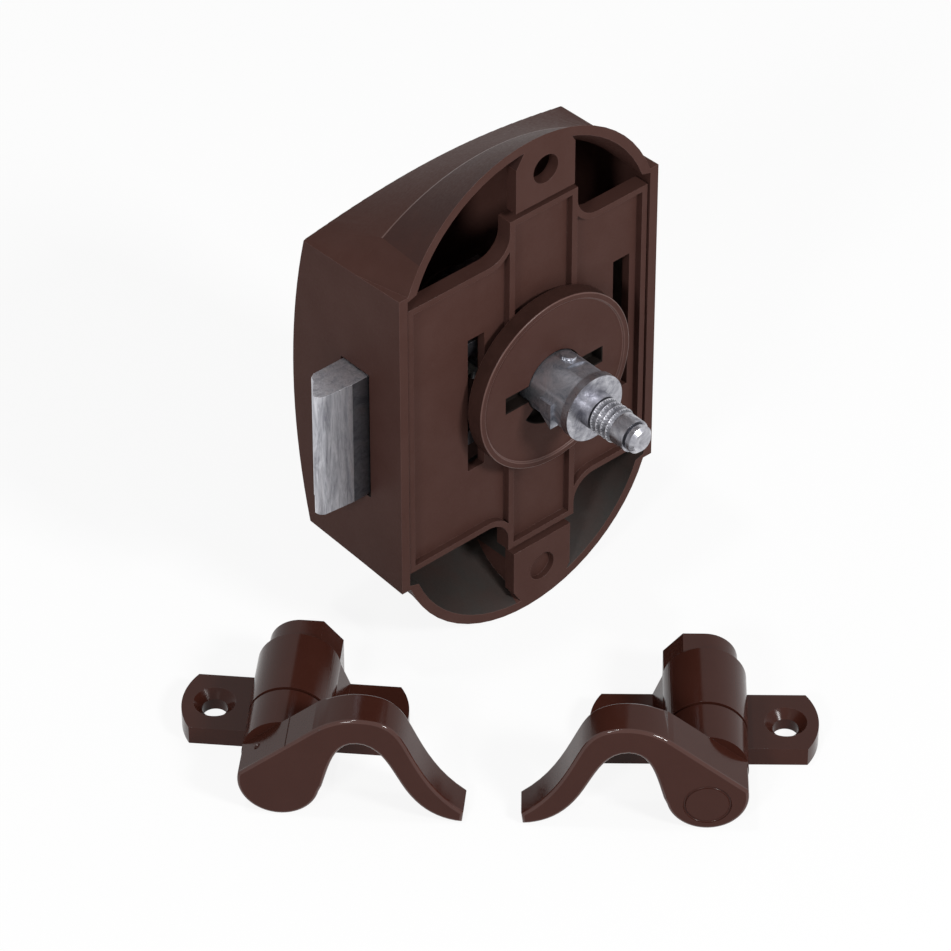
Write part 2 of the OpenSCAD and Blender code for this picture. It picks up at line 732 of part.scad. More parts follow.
module hook_bracket(side) {
    color(hook_brown) place_hook(side) difference() {
        union() {
            linear_extrude(hook_plate_t) hook_plate_plan();
            on_axis() rod(barrel_y0, barrel_y1, barrel_d);
            // upright side of the barrel and the slanted flank below the arm
            slab(barrel_y0, barrel_y1) polygon([[-barrel_r + slip, 0], [flank_w, 0], [flank_w, hook_plate_t],
                [barrel_r - 0.7, axis_h + 2.4], [-barrel_r + slip, axis_h]]);
            on_axis() rod(barrel_y1, boss_y1, boss_d);
            on_axis() slab(barrel_y1, boss_y1) polygon([[0, boss_d / 2], [boss_flat, boss_d / 2],
                [boss_side, boss_corner], [boss_side, -axis_h], [-boss_d / 2, -axis_h], [-boss_d / 2, 0]]);
        }
        box([-hook_plate_w, -hook_plate_w, -2 * axis_h], [hook_plate_w, hook_plate_w, 0]);
        on_axis() rod(barrel_y0 - over, chamber_y1, 2 * chamber_r);
        on_axis() rod(chamber_y1 - over, boss_y1 + over, pivot_d + 2 * run);
        on_axis() rod(ring_y - 0.15, boss_y1 + over, ring_d + 0.6);
        for (s = [-1, 1]) translate([s * hook_spacing / 2, 0, 0]) {
            translate([0, 0, -over]) cylinder(d = hook_hole_d, h = hook_plate_t + 2 * over);
            translate([0, 0, hook_plate_t - (hook_sink_d - hook_hole_d) / 2])
                cylinder(d1 = hook_hole_d, d2 = hook_sink_d + 0.02, h = (hook_sink_d - hook_hole_d) / 2 + 0.01);
        }
    }
}

function bezier(p, n) = [for (i = [1:n]) let (t = i / n, u = 1 - t)
    u * u * u * p[0] + 3 * u * u * t * p[1] + 3 * u * t * t * p[2] + t * t * t * p[3]];

// Height of the ramp that leads up to the arm, at x from the axis
function ramp(x) = ramp_h + ramp_slope * x;

// Side view of the lever about its axis, in X and Z: a round hub below a ramp, and the arm
module lever_side() {
    far = 2 * lever_hub_d;
    crest = [4.6, ramp(4.6)];
    crown = [arm_reach - 13.2, arm_crown];
    shoulder_top = [arm_reach - 7.8, arm_crown - 3.4];
    tip_top = [arm_reach, 1.9 - axis_h];
    tip_low = [arm_reach - 0.2, 0.2 - axis_h];
    bend = [arm_reach - 7.6, -0.1];
    arch = [arm_reach - 13.8, arm_crown - arm_depth];
    root = [lever_hub_r + 0.3, -0.2];
    heel = [lever_hub_r * cos(33), -lever_hub_r * sin(33)];
    difference() {
        circle(lever_hub_r);
        polygon([[-far, ramp(-far)], [far, ramp(far)], [-far, ramp(far)]]);
    }
    polygon(concat([[-1, -1], [-1, ramp(-1)], crest],
        bezier([crest, crest + [2.2, 2.2 * ramp_slope], crown - [1.8, -0.1], crown], curve_steps),
        bezier([crown, crown + [2.6, -0.1], shoulder_top + [-1.2, 2.4], shoulder_top], curve_steps),
        bezier([shoulder_top, shoulder_top + [1.6, -3.2], tip_top + [-4.6, 3.3], tip_top], curve_steps),
        [tip_low],
        bezier([tip_low, tip_low + [-3, 0.3], bend + [2, -3.5], bend], curve_steps),
        bezier([bend, bend + [-1.8, 3.2], arch + [3.2, -0.1], arch], curve_steps),
        bezier([arch, arch + [-3, 0.1], root + [1, 3.6], root], curve_steps),
        [heel]));
}

// Plan of the lever, which thins from the hub to the tip
module lever_plan() {
    mid_y = lever_y0 + lever_t / 2;
    end_x = arm_reach + over;
    polygon([[-lever_hub_d, lever_y0], [lever_hub_r, lever_y0], [end_x, mid_y - lever_tip_t / 2],
        [end_x, mid_y + lever_tip_t / 2], [lever_hub_r, neck_y0], [-lever_hub_d, neck_y0]]);
}

module hook_lever(side) {
    tall = 2 * (arm_crown + axis_h);
    color(hook_brown) place_hook(side) on_axis() difference() {
        union() {
            intersection() {
                slab(lever_y0 - over, neck_y0 + over) lever_side();
                translate([0, 0, -tall / 2]) linear_extrude(tall) lever_plan();
            }
            rod(neck_y0 - 0.5, neck_y1, neck_d);
        }
        // the ramp runs on through the end of the neck
        slab(neck_y0 - over, neck_y0) polygon([[-neck_d, ramp(-neck_d)], [neck_d, ramp(neck_d)],
            [-neck_d, ramp(neck_d)]]);
        rod(pivot_y0 - 0.1, neck_y1 + over, pivot_d + 2 * run);
    }
}

module hook_pivot(side) {
    color(steel) place_hook(side) on_axis() rod(pivot_y0, pivot_y1, pivot_d);
}

module hook_spring(side) {
    length = chamber_y1 - barrel_y0 - 2 * spring_seat;
    color(steel) place_hook(side) on_axis() translate([0, barrel_y0 + spring_seat, 0]) rotate([-90, 0, 0])
        coil(hook_coil_r, hook_wire_d, hook_turns, length);
}

module hook_ring(side) {
    color(steel) place_hook(side) on_axis() difference() {
        rod(ring_y, ring_y + ring_t, ring_d);
        rod(ring_y - over, ring_y + ring_t + over, pivot_d + 2 * run);
    }
}

module left_hook_bracket() { hook_bracket(1); }
module left_hook_lever() { hook_lever(1); }
module left_hook_pivot() { hook_pivot(1); }
module left_hook_spring() { hook_spring(1); }
module left_hook_ring() { hook_ring(1); }
module right_hook_bracket() { hook_bracket(-1); }
module right_hook_lever() { hook_lever(-1); }
module right_hook_pivot() { hook_pivot(-1); }
module right_hook_spring() { hook_spring(-1); }
module right_hook_ring() { hook_ring(-1); }

case_cover();
chassis_plate();
guide_disc();
spindle();
carriage();
cross_pin();
retaining_clip();
bolt();
bolt_springs();
spindle_spring();
latch_wire();
left_hook_bracket();
left_hook_lever();
left_hook_pivot();
left_hook_spring();
left_hook_ring();
right_hook_bracket();
right_hook_lever();
right_hook_pivot();
right_hook_spring();
right_hook_ring();
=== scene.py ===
"""Furniture push lock with a pair of spring hooks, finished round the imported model."""

import math

import bpy
from mathutils import Matrix, Vector


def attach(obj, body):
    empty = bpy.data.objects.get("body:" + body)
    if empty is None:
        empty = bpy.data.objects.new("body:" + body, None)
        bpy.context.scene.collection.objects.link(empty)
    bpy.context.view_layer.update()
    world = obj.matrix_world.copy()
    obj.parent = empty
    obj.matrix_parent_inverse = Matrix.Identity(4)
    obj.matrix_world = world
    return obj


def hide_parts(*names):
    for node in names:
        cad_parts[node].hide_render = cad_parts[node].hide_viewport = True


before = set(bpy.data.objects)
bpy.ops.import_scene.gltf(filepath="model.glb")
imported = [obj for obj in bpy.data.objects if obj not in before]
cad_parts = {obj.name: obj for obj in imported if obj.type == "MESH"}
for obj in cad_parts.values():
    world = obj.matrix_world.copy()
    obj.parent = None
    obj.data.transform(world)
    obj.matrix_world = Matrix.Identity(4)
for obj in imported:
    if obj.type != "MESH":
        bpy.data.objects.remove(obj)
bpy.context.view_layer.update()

MM = 0.001

# Camera, at the angle from which the lock was photographed
CAMERA_PLACE = (-390.4 * MM, -429.9 * MM, 461.05 * MM)
CAMERA_PITCH = 50.5
CAMERA_TURN = -41.35
CAMERA_LENS = 212.0
CAMERA_SENSOR = 36.0
CAMERA_CLIP = (0.01, 10.0)

# Square lamps aimed at the middle of the lock: place and side in metres, power in watts
SOFTBOXES = {
    "key": ((0.10, -0.72, 0.50), 0.16, 5.2),
    "side": ((-0.70, -0.32, 0.46), 0.14, 2.4),
    "top": ((-0.15, 0.10, 0.85), 0.06, 1.3),
}
WORLD_LIGHT = 0.28

# White paper in the plane under the lowest point of the case, where the hooks lie
FLOOR_Z = -39.2 * MM
FLOOR_SIZE = 6.0
PAPER_WHITE = (0.94, 0.94, 0.94, 1)
# share of plain white that the camera sees in the paper, so that it stays even
PAPER_GLOW = 0.88

# Colours, as light reflected
BROWN = (0.057, 0.0255, 0.0205)
BROWN_LIGHT = (0.068, 0.033, 0.0275)
# painted highlights along the rounded edges of the case
EDGE_HIGHLIGHT_BROWN = (0.088, 0.041, 0.033)
EDGE_HIGHLIGHT_PALE = (0.112, 0.056, 0.047)
# painted shade on the band from the rim up to the ridge
BAND_SHADE_BROWN = (0.045, 0.0220, 0.0190)
# painted shade inside the case and in the disc's hollow
DEEP_SHADE_BROWN = (0.020, 0.0165, 0.0145)
# painted shade in the disc's slot and round its hub
HOLLOW_SHADE_BROWN = (0.0085, 0.0055, 0.0045)
# painted shade on the disc's flank
FLANK_SHADE_BROWN = (0.030, 0.0130, 0.0100)
HOOK_BROWN = (0.040, 0.0115, 0.0075)
HOOK_BROWN_LIGHT = (0.046, 0.0145, 0.0100)
# painted highlights along the hooks' rounded edges
HOOK_HIGHLIGHT = (0.050, 0.0150, 0.0100)
HOOK_HIGHLIGHT_PALE = (0.064, 0.0220, 0.0155)
ZINC = (0.70, 0.70, 0.74)
ZINC_DARK = (0.24, 0.24, 0.27)
# painted highlight on the spindle's rounded edges
ZINC_HIGHLIGHT = (0.90, 0.90, 0.92)
SPINDLE_LIGHT = (0.62, 0.62, 0.66)
SPINDLE_DARK = (0.20, 0.20, 0.23)
HUB_LIGHT = (0.62, 0.63, 0.68)
HUB_DARK = (0.17, 0.18, 0.21)
# painted shade in the spindle's grooves and on the bolt at the case wall
ZINC_SHADE = (0.21, 0.21, 0.23)
ZINC_SHADE_DARK = (0.06, 0.06, 0.07)
STEEL = (0.30, 0.30, 0.31)
STEEL_DARK = (0.10, 0.10, 0.10)
# springs painted dark as shade inside the case
SPRING_SHADE = (0.12, 0.12, 0.13)
SPRING_SHADE_DARK = (0.04, 0.04, 0.045)
ACETAL = (0.70, 0.69, 0.64)
ACETAL_PALE = (0.78, 0.77, 0.73)


# Working by hand on one piece at a time

# a piece's first material covers it, and its second is that of its rounded edges, painted lighter as a
# highlight, except on the bolt
COVERING = 0
EDGES = 1
MERGE_WITHIN = 0.002 * MM
FLAT_WITHIN = 0.6


def alone(piece):
    """Selects this piece and nothing else."""
    bpy.ops.object.select_all(action="DESELECT")
    piece.select_set(True)
    bpy.context.view_layer.objects.active = piece


def flatten(piece, degrees):
    """Joins neighbours of one material whose faces lie within some degrees of each other."""
    alone(piece)
    bpy.ops.object.mode_set(mode="EDIT")
    bpy.ops.mesh.select_all(action="SELECT")
    bpy.ops.mesh.dissolve_limited(angle_limit=math.radians(degrees), delimit={"MATERIAL"})
    bpy.ops.object.mode_set(mode="OBJECT")


def own_copy(node, name, *materials, flat_within=FLAT_WITHIN):
    """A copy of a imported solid, merged and with its flat faces made whole, to be worked on."""
    piece = bpy.data.objects.new(name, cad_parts[node].data.copy())
    bpy.context.scene.collection.objects.link(piece)
    piece.data.materials.clear()
    for material in materials:
        piece.data.materials.append(material)
    alone(piece)
    bpy.ops.object.mode_set(mode="EDIT")
    bpy.ops.mesh.select_all(action="SELECT")
    bpy.ops.mesh.remove_doubles(threshold=MERGE_WITHIN)
    bpy.ops.object.mode_set(mode="OBJECT")
    flatten(piece, flat_within)
    return piece


def carve(piece, cutter):
    """Takes the cutter's shape out of a piece."""
    cut = piece.modifiers.new("carving", "BOOLEAN")
    cut.operation = "DIFFERENCE"
    cut.solver = "EXACT"
    cut.object = cutter
    alone(piece)
    bpy.ops.object.modifier_apply(modifier=cut.name)
    bpy.data.objects.remove(cutter, do_unlink=True)


def paint_faces(piece, material, wanted):
    """Gives the faces that are wanted, by centre and normal, another of the piece's materials."""
    index = piece.data.materials.find(material.name)
    for face in piece.data.polygons:
        if wanted(face.center, face.normal):
            face.material_index = index


def bevel_chosen(piece, width, segments, sharper_than, wanted, clamp=False):
    """Bevels the edges sharper than an angle whose two ends are wanted, and gives the bevels the piece's
    second material, a painted highlight.
    """
    alone(piece)
    bpy.ops.object.mode_set(mode="EDIT")
    bpy.ops.mesh.select_mode(type="EDGE")
    bpy.ops.mesh.select_all(action="DESELECT")
    bpy.ops.mesh.edges_select_sharp(sharpness=math.radians(sharper_than))
    bpy.ops.object.mode_set(mode="OBJECT")
    points = piece.data.vertices
    chosen = [edge.index for edge in piece.data.edges
              if edge.select and all(wanted(points[end].co) for end in edge.vertices)]
    bpy.ops.object.mode_set(mode="EDIT")
    bpy.ops.mesh.select_all(action="DESELECT")
    bpy.ops.object.mode_set(mode="OBJECT")
    for index in chosen:
        piece.data.edges[index].select = True
    bpy.ops.object.mode_set(mode="EDIT")
    bpy.ops.mesh.bevel(offset=width, segments=segments, affect="EDGES", clamp_overlap=clamp, material=EDGES)
    bpy.ops.object.mode_set(mode="OBJECT")


def even_shading(piece):
    """Keeps the shading of large faces flat up to their rounded edges."""
    alone(piece)
    weighted = piece.modifiers.new("even shading", "WEIGHTED_NORMAL")
    weighted.keep_sharp = True
    weighted.weight = 60
    bpy.ops.object.modifier_apply(modifier=weighted.name)


def round_edges(piece, width, segments=2, angle=32, strip=EDGES, flat_over=math.inf):
    """Rounds every edge sharper than the angle and shades the rest smooth. The rounded strips take the strip
    material, by default the second one, a painted highlight.
    Faces over the area flat_over stay flat."""
    alone(piece)
    bpy.ops.object.shade_smooth_by_angle(angle=math.radians(angle))
    for face in piece.data.polygons:
        if face.area > flat_over:
            face.use_smooth = False
    bevel = piece.modifiers.new("rounding", "BEVEL")
    bevel.width = width
    bevel.segments = segments
    bevel.limit_method = "ANGLE"
    bevel.angle_limit = math.radians(angle)
    bevel.material = strip
    bpy.ops.object.modifier_apply(modifier=bevel.name)
    even_shading(piece)


def fit(piece, body, slot, *nodes):
    """Lets a finished piece ride with its body in place of the nodes."""
    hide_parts(*nodes)
    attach(piece, body)


# Finishes

def new_group(name, inputs, outputs):
    tree = bpy.data.node_groups.new(name, "ShaderNodeTree")
    for label, kind, value in inputs:
        socket = tree.interface.new_socket(name=label, in_out="INPUT", socket_type=kind)
        socket.default_value = value
    for label, kind in outputs:
        tree.interface.new_socket(name=label, in_out="OUTPUT", socket_type=kind)
    return tree, tree.nodes.new("NodeGroupInput"), tree.nodes.new("NodeGroupOutput")


def noise(tree, scale, detail, rough=0.55):
    node = tree.nodes.new("ShaderNodeTexNoise")
    node.inputs["Scale"].default_value = scale
    node.inputs["Detail"].default_value = detail
    node.inputs["Roughness"].default_value = rough
    return node


def spread(tree, value, low, high, to_low=0.0, to_high=1.0):
    """Maps a value from low..high to to_low..to_high and holds it there."""
    node = tree.nodes.new("ShaderNodeMapRange")
    node.inputs["From Min"].default_value = low
    node.inputs["From Max"].default_value = high
    node.inputs["To Min"].default_value = to_low
    node.inputs["To Max"].default_value = to_high
    tree.links.new(value, node.inputs["Value"])
    return node.outputs["Result"]


def blend_colours(tree, factor, first, second):
    node = tree.nodes.new("ShaderNodeMix")
    node.data_type = "RGBA"
    tree.links.new(factor, node.inputs["Factor"])
    # the node's colour sockets come after those of its other kinds of data
    tree.links.new(first, node.inputs[6])
    tree.links.new(second, node.inputs[7])
    return node.outputs[2]


def arithmetic(tree, kind, first, second):
    node = tree.nodes.new("ShaderNodeMath")
    node.operation = kind
    for value, socket in zip((first, second), node.inputs):
        if isinstance(value, (int, float)):
            socket.default_value = value
        else:
            tree.links.new(value, socket)
    return node.outputs[0]


def give_out(tree, given, out, colour, shift, fine, broad, weight):
    """Ends a finish: its colour, the roughness with a shift, and a fine relief on a broad one."""
    tree.links.new(colour, out.inputs["Colour"])
    tree.links.new(arithmetic(tree, "ADD", given.outputs["Roughness"], shift), out.inputs["Roughness"])
    swell = arithmetic(tree, "MULTIPLY", broad.outputs["Fac"], weight)
    tree.links.new(arithmetic(tree, "ADD", fine.outputs["Fac"], swell), out.inputs["Height"])


def moulded_group():
    """Moulded plastic: cloudy patches, pale scuffs and a fine grain."""
    tree, given, out = new_group(
        "moulded plastic",
        [("Base", "NodeSocketColor", (*BROWN, 1)), ("Pale", "NodeSocketColor", (*BROWN_LIGHT, 1)),
         ("Roughness", "NodeSocketFloat", 0.5), ("Vector", "NodeSocketVector", (0, 0, 0))],
        [("Colour", "NodeSocketColor"), ("Roughness", "NodeSocketFloat"), ("Height", "NodeSocketFloat")])
    clouds = noise(tree, scale=190.0, detail=5.0, rough=0.6)
    grain = noise(tree, scale=2600.0, detail=3.0)
    scuffs = noise(tree, scale=620.0, detail=7.0, rough=0.75)
    for node in (clouds, grain, scuffs):
        tree.links.new(given.outputs["Vector"], node.inputs["Vector"])
    patches = spread(tree, clouds.outputs["Fac"], low=0.38, high=0.68)
    flecks = spread(tree, scuffs.outputs["Fac"], low=0.56, high=0.78)
    # the patches take up to about half of the paler colour
    mixed = arithmetic(tree, "MAXIMUM", arithmetic(tree, "MULTIPLY", patches, 0.55), flecks)
    colour = blend_colours(tree, mixed, given.outputs["Base"], given.outputs["Pale"])
    shift = spread(tree, grain.outputs["Fac"], low=0.3, high=0.7, to_low=-0.06, to_high=0.06)
    give_out(tree, given, out, colour, shift, fine=grain, broad=clouds, weight=3.0)
    return tree


def cast_group():
    """Die cast zinc: dull and bright flow marks that run with the casting, small pits and a dull bloom."""
    tree, given, out = new_group(
        "cast zinc",
        [("Bright", "NodeSocketColor", (*ZINC, 1)), ("Dull", "NodeSocketColor", (*ZINC_DARK, 1)),
         ("Roughness", "NodeSocketFloat", 0.35), ("Vector", "NodeSocketVector", (0, 0, 0))],
        [("Colour", "NodeSocketColor"), ("Roughness", "NodeSocketFloat"), ("Height", "NodeSocketFloat")])
    flow = noise(tree, scale=420.0, detail=8.0, rough=0.72)
    pits = noise(tree, scale=2100.0, detail=5.0, rough=0.65)
    for node in (flow, pits):
        tree.links.new(given.outputs["Vector"], node.inputs["Vector"])
    flow.inputs["Distortion"].default_value = 0.6
    marks = spread(tree, flow.outputs["Fac"], low=0.36, high=0.66)
    colour = blend_colours(tree, marks, given.outputs["Dull"], given.outputs["Bright"])
    shift = spread(tree, flow.outputs["Fac"], low=0.3, high=0.7, to_low=0.12, to_high=-0.08)
    give_out(tree, given, out, colour, shift, fine=pits, broad=flow, weight=2.0)
    return tree


MOULDED = moulded_group()
CAST = cast_group()
RELIEF_DEPTH = 0.02 * MM


def finished(name, tree, colours, roughness, bump, specular=0.5, stretch=(1, 1, 1)):
    """A material whose two colours, roughness and relief go through a finish."""
    material = bpy.data.materials.new(name)
    material.use_nodes = True
    nodes, links = material.node_tree.nodes, material.node_tree.links
    shader = nodes["Principled BSDF"]
    place = nodes.new("ShaderNodeTexCoord")
    turn = nodes.new("ShaderNodeMapping")
    turn.inputs["Scale"].default_value = stretch
    links.new(place.outputs["Object"], turn.inputs["Vector"])
    finish = nodes.new("ShaderNodeGroup")
    finish.node_tree = tree
    links.new(turn.outputs["Vector"], finish.inputs["Vector"])
    # both finishes take their two colours first
    for socket, colour in zip(finish.inputs, colours):
        socket.default_value = (*colour, 1)
    finish.inputs["Roughness"].default_value = roughness
    relief = nodes.new("ShaderNodeBump")
    relief.inputs["Strength"].default_value = bump
    relief.inputs["Distance"].default_value = RELIEF_DEPTH
    links.new(finish.outputs["Colour"], shader.inputs["Base Color"])
    links.new(finish.outputs["Roughness"], shader.inputs["Roughness"])
    links.new(finish.outputs["Height"], relief.inputs["Height"])
    links.new(relief.outputs["Normal"], shader.inputs["Normal"])
    shader.inputs["Metallic"].default_value = 1.0 if tree is CAST else 0.0
    shader.inputs["Specular IOR Level"].default_value = specular
    return material


CASE_PLASTIC = finished("case plastic", MOULDED, (BROWN, BROWN_LIGHT),
                        roughness=0.54, bump=0.45, specular=0.05)
# the band by the rim is painted darker as shade
CASE_BAND_SHADE = finished("case plastic by the rim, painted shade", MOULDED, (BAND_SHADE_BROWN, BROWN),
                     roughness=0.50, bump=0.45, specular=0.05)
# the case's rounded edges are painted lighter as a highlight
CASE_EDGE_HIGHLIGHT = finished("case plastic edges, painted highlight", MOULDED, (EDGE_HIGHLIGHT_BROWN, EDGE_HIGHLIGHT_PALE),
                     roughness=0.38, bump=0.3, specular=0.3)
# the inside of the case is painted dark as shade
CASE_INSIDE_SHADE = finished("case inside, painted shade", MOULDED, (DEEP_SHADE_BROWN, FLANK_SHADE_BROWN),
                       roughness=0.60, bump=0.4, specular=0.3)
# the disc's slot is painted dark as shade
CASE_HOLLOW_SHADE = finished("disc hollow, painted shade", MOULDED, (HOLLOW_SHADE_BROWN, DEEP_SHADE_BROWN),
                       roughness=0.70, bump=0.3, specular=0.05)
# the disc's side wall is painted darker as shade
CASE_FLANK_SHADE = finished("disc flank, painted shade", MOULDED, (FLANK_SHADE_BROWN, BROWN),
                      roughness=0.45, bump=0.4, specular=0.15)
HOOK_PLASTIC = finished("hook plastic", MOULDED, (HOOK_BROWN, HOOK_BROWN_LIGHT),
                        roughness=0.18, bump=0.06, specular=0.15)
# the hooks' rounded edges are glossier and painted lighter as a highlight
HOOK_GLOSS_HIGHLIGHT = finished("hook plastic edges, painted highlight", MOULDED, (HOOK_HIGHLIGHT, HOOK_HIGHLIGHT_PALE),
                      roughness=0.10, bump=0.05, specular=0.4)
SPINDLE_ZINC = finished("spindle zinc", CAST, (SPINDLE_LIGHT, SPINDLE_DARK), roughness=0.30, bump=0.6)
HUB_ZINC = finished("hub zinc", CAST, (HUB_LIGHT, HUB_DARK), roughness=0.42, bump=0.8)
# the spindle's rounded edges are painted bright as a highlight
ZINC_EDGE_HIGHLIGHT = finished("zinc edges, painted highlight", CAST, (ZINC_HIGHLIGHT, ZINC), roughness=0.24, bump=0.2)
# zinc painted dark as shade, in grooves and inside the case
ZINC_PAINTED_SHADE = finished("zinc in painted shade", CAST, (ZINC_SHADE, ZINC_SHADE_DARK), roughness=0.45, bump=0.5)
# the bolt's flow marks run along its height
BOLT_ZINC = finished("bolt zinc", CAST, (ZINC, ZINC_DARK), roughness=0.42, bump=0.7, stretch=(3.2, 3.2, 0.4))
DRAWN_STEEL = finished("drawn steel", CAST, (STEEL, STEEL_DARK), roughness=0.30, bump=0.2)
# the springs are painted dark as shade inside the case
SPRING_STEEL_SHADE = finished("spring steel, painted shade", CAST, (SPRING_SHADE, SPRING_SHADE_DARK), roughness=0.34, bump=0.2)
WHITE_ACETAL = finished("acetal", MOULDED, (ACETAL, ACETAL_PALE), roughness=0.4, bump=0.2)


# The lock. Y runs along the spindle's axis, from the door into the case

CASE_MIDDLE = Vector((-2.5 * MM, 0, 0))
INNER_WALL_FROM = 1.0 * MM
INNER_WALL_FACING = 0.35
TAB_HOLE = Vector((0, 0, -33.5 * MM))
DRIVER_BORE_FROM = 3.0 * MM
DRIVER_BORE_R = 3.8 * MM
# the ridge over each round end is an arc about a middle that lies RIDGE_LIFT past the case's own
RIDGE_Y = 8.6 * MM
RIDGE_R = 33.15 * MM
RIDGE_LIFT = 0.15 * MM
RIDGE_Y_WITHIN = 0.05 * MM
RIDGE_R_WITHIN = 0.2 * MM
# the band from near the rim up to the ridge, which is painted darker as shade
BAND_FROM = 0.5 * MM
BAND_HALF_W = 18.8 * MM
BAND_FACING = 0.5
CHASSIS_BACK_FROM = 2.7 * MM
DISC_HOLLOW_FROM = -2.045 * MM
DISC_SLOT_HALF = (8.8 * MM, 1.5 * MM)
DISC_NOTCH_R = 6.6 * MM
DISC_FLANK_TILT = 0.5
HUB_END = -8.7 * MM
BARBS_FROM = -15.36 * MM
BARBS_TO = -11.56 * MM
BARB_R = 2.5 * MM
TIP_GROOVE_FROM = -17.7 * MM
TIP_GROOVE_R = 1.95 * MM
TIP_GROOVE_TILT = 0.3
BOLT_SHADE_FROM = -23.6 * MM


def from_axis(spot):
    """How far a place lies from the spindle's axis."""
    return math.hypot(spot.x, spot.z)


def across(middle, spot):
    """The way from a middle to a place, without the part along the spindle's axis."""
    way = spot - middle
    way.y = 0
    return way


def make_cover():
    # parts of the ridge are so faint that they have to be painted before the faces are made whole
    cover = own_copy("case_cover", "cover", CASE_PLASTIC, CASE_EDGE_HIGHLIGHT, CASE_INSIDE_SHADE, CASE_BAND_SHADE, flat_within=0.1)

    def faces_inwards(centre, normal):
        outwards = across(CASE_MIDDLE, centre).normalized()
        return centre.z < 0 and centre.y > INNER_WALL_FROM and normal.dot(outwards) < -INNER_WALL_FACING

    def in_driver_bore(centre, normal):
        outwards = across(TAB_HOLE, centre)
        return centre.y > DRIVER_BORE_FROM and outwards.length < DRIVER_BORE_R and normal.dot(outwards) < 0

    def on_ridge(spot):
        reach = math.hypot(spot.x - CASE_MIDDLE.x, abs(spot.z) + RIDGE_LIFT)
        return (abs(spot.y - RIDGE_Y) < RIDGE_Y_WITHIN and abs(reach - RIDGE_R) < RIDGE_R_WITHIN
                and abs(spot.x - CASE_MIDDLE.x) < BAND_HALF_W)

    def on_shaded_band(centre, normal):
        outwards = across(CASE_MIDDLE, centre)
        return (BAND_FROM < centre.y < RIDGE_Y and abs(outwards.x) < BAND_HALF_W
                and outwards.length > RIDGE_R and normal.dot(outwards.normalized()) > BAND_FACING)

    # inner walls and the driver bore are painted dark as shade
    paint_faces(cover, CASE_INSIDE_SHADE, faces_inwards)
    paint_faces(cover, CASE_INSIDE_SHADE, in_driver_bore)
    # the facets between the rim and the ridge are painted darker as shade
    paint_faces(cover, CASE_BAND_SHADE, on_shaded_band)
    flatten(cover, FLAT_WITHIN)
    # the ridge's thin bevel takes the edge material, a painted highlight line along the crease
    bevel_chosen(cover, width=0.14 * MM, segments=1, sharper_than=0.02, wanted=on_ridge)
    round_edges(cover, width=0.22 * MM)
    fit(cover, "case", "case_plastic", "case_cover")


def make_chassis():
    chassis = own_copy("chassis_plate", "chassis", CASE_PLASTIC, CASE_EDGE_HIGHLIGHT, CASE_INSIDE_SHADE)
    # the back of the chassis inside the case is painted dark as shade
    paint_faces(chassis, CASE_INSIDE_SHADE, lambda centre, normal: centre.z < 0 and centre.y > CHASSIS_BACK_FROM)
    round_edges(chassis, width=0.12 * MM)
    fit(chassis, "case", "chassis_plastic", "chassis_plate")


def make_disc():
    disc = own_copy("guide_disc", "disc", CASE_PLASTIC, CASE_EDGE_HIGHLIGHT, CASE_FLANK_SHADE, CASE_HOLLOW_SHADE)
    # the disc's side wall is painted darker as shade
    paint_faces(disc, CASE_FLANK_SHADE, lambda centre, normal: abs(normal.y) < DISC_FLANK_TILT)
    round_edges(disc, width=0.14 * MM)

    def in_slot(centre, normal):
        half_w, half_h = DISC_SLOT_HALF
        by_slot = abs(centre.x) < half_w and abs(centre.z) < half_h
        return centre.y > DISC_HOLLOW_FROM and (by_slot or from_axis(centre) < DISC_NOTCH_R)

    # the disc's slot and the notch round its hub are painted dark as shade
    paint_faces(disc, CASE_HOLLOW_SHADE, in_slot)
    fit(disc, "case", "disc_plastic", "guide_disc")


def make_spindle():
    spindle = own_copy("spindle", "knob_spindle", HUB_ZINC, ZINC_EDGE_HIGHLIGHT, SPINDLE_ZINC, ZINC_PAINTED_SHADE)

    def by_barbs(spot):
        return BARBS_FROM < spot.y < BARBS_TO

    def between_barbs(centre, normal):
        return by_barbs(centre) and from_axis(centre) < BARB_R

    def in_tip_groove(centre, normal):
        in_groove = centre.y < TIP_GROOVE_FROM and from_axis(centre) < TIP_GROOVE_R
        return in_groove and abs(normal.y) < TIP_GROOVE_TILT

    def on_crest(spot):
        return by_barbs(spot) and from_axis(spot) > BARB_R

    # the grooves between the barbs and behind the tip are painted dark as shade, below their edges, which
    # are painted bright as a highlight
    paint_faces(spindle, SPINDLE_ZINC, lambda centre, normal: centre.y < HUB_END)
    paint_faces(spindle, ZINC_PAINTED_SHADE, between_barbs)
    paint_faces(spindle, ZINC_PAINTED_SHADE, in_tip_groove)
    alone(spindle)
    bpy.ops.object.shade_smooth_by_angle(angle=math.radians(18))
    # the rounded crests and edges take the bright zinc, a painted highlight
    bevel_chosen(spindle, width=0.1 * MM, segments=2, sharper_than=40, wanted=on_crest)
    bevel_chosen(spindle, width=0.12 * MM, segments=2, sharper_than=20,
                 wanted=lambda spot: not by_barbs(spot), clamp=True)
    even_shading(spindle)
    fit(spindle, "spindle_group", "spindle_zinc", "spindle")


def make_bolt():
    bolt = own_copy("bolt", "side_bolt", BOLT_ZINC, ZINC_PAINTED_SHADE)
    # the bolt from the case wall inwards is painted dark as shade
    paint_faces(bolt, ZINC_PAINTED_SHADE, lambda centre, normal: centre.x > BOLT_SHADE_FROM)
    round_edges(bolt, width=0.5 * MM, segments=4, strip=COVERING)
    fit(bolt, "bolt_group", "bolt_zinc", "bolt")


# The hooks. Sizes and places here are in millimetres, in a hook's own frame: x along the arm, y along the
# pivot from the lever's front to the bracket's back, z up from the mounting plane

